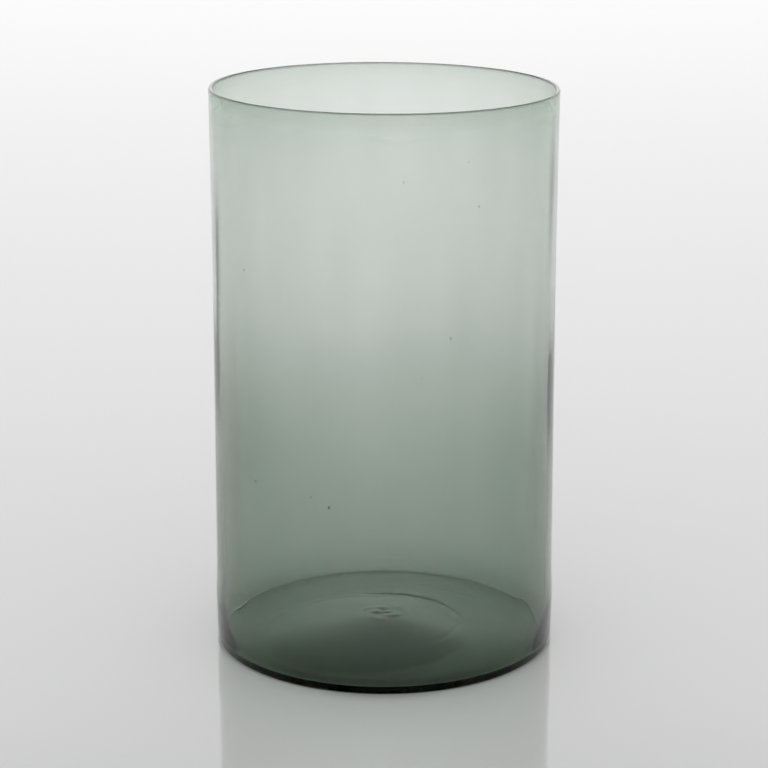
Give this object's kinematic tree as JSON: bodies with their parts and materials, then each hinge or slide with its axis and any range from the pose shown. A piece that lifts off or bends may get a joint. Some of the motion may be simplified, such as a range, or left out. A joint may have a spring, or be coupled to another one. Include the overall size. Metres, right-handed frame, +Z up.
{
  "type": "cylinder vase",
  "caption": "Tall straight cylinder vase in thin smoke-green blown glass, with a fire-polished lip and a kicked-up base, for holding cut flowers and water.",
  "frame": {"origin": "centre of the circle that the vase stands on, at table height", "axes": "+Z up the vase's axis, from the base to the open mouth; +X and +Y are alike, as the vase is round"},
  "size_m": [0.1522, 0.1522, 0.25],
  "materials": {
    "smoke_glass": "clear polished glass, tinted smoke green through its thickness"
  },
  "bodies": {
    "root": {"vase_body": "smoke_glass"}
  },
  "joints": []
}
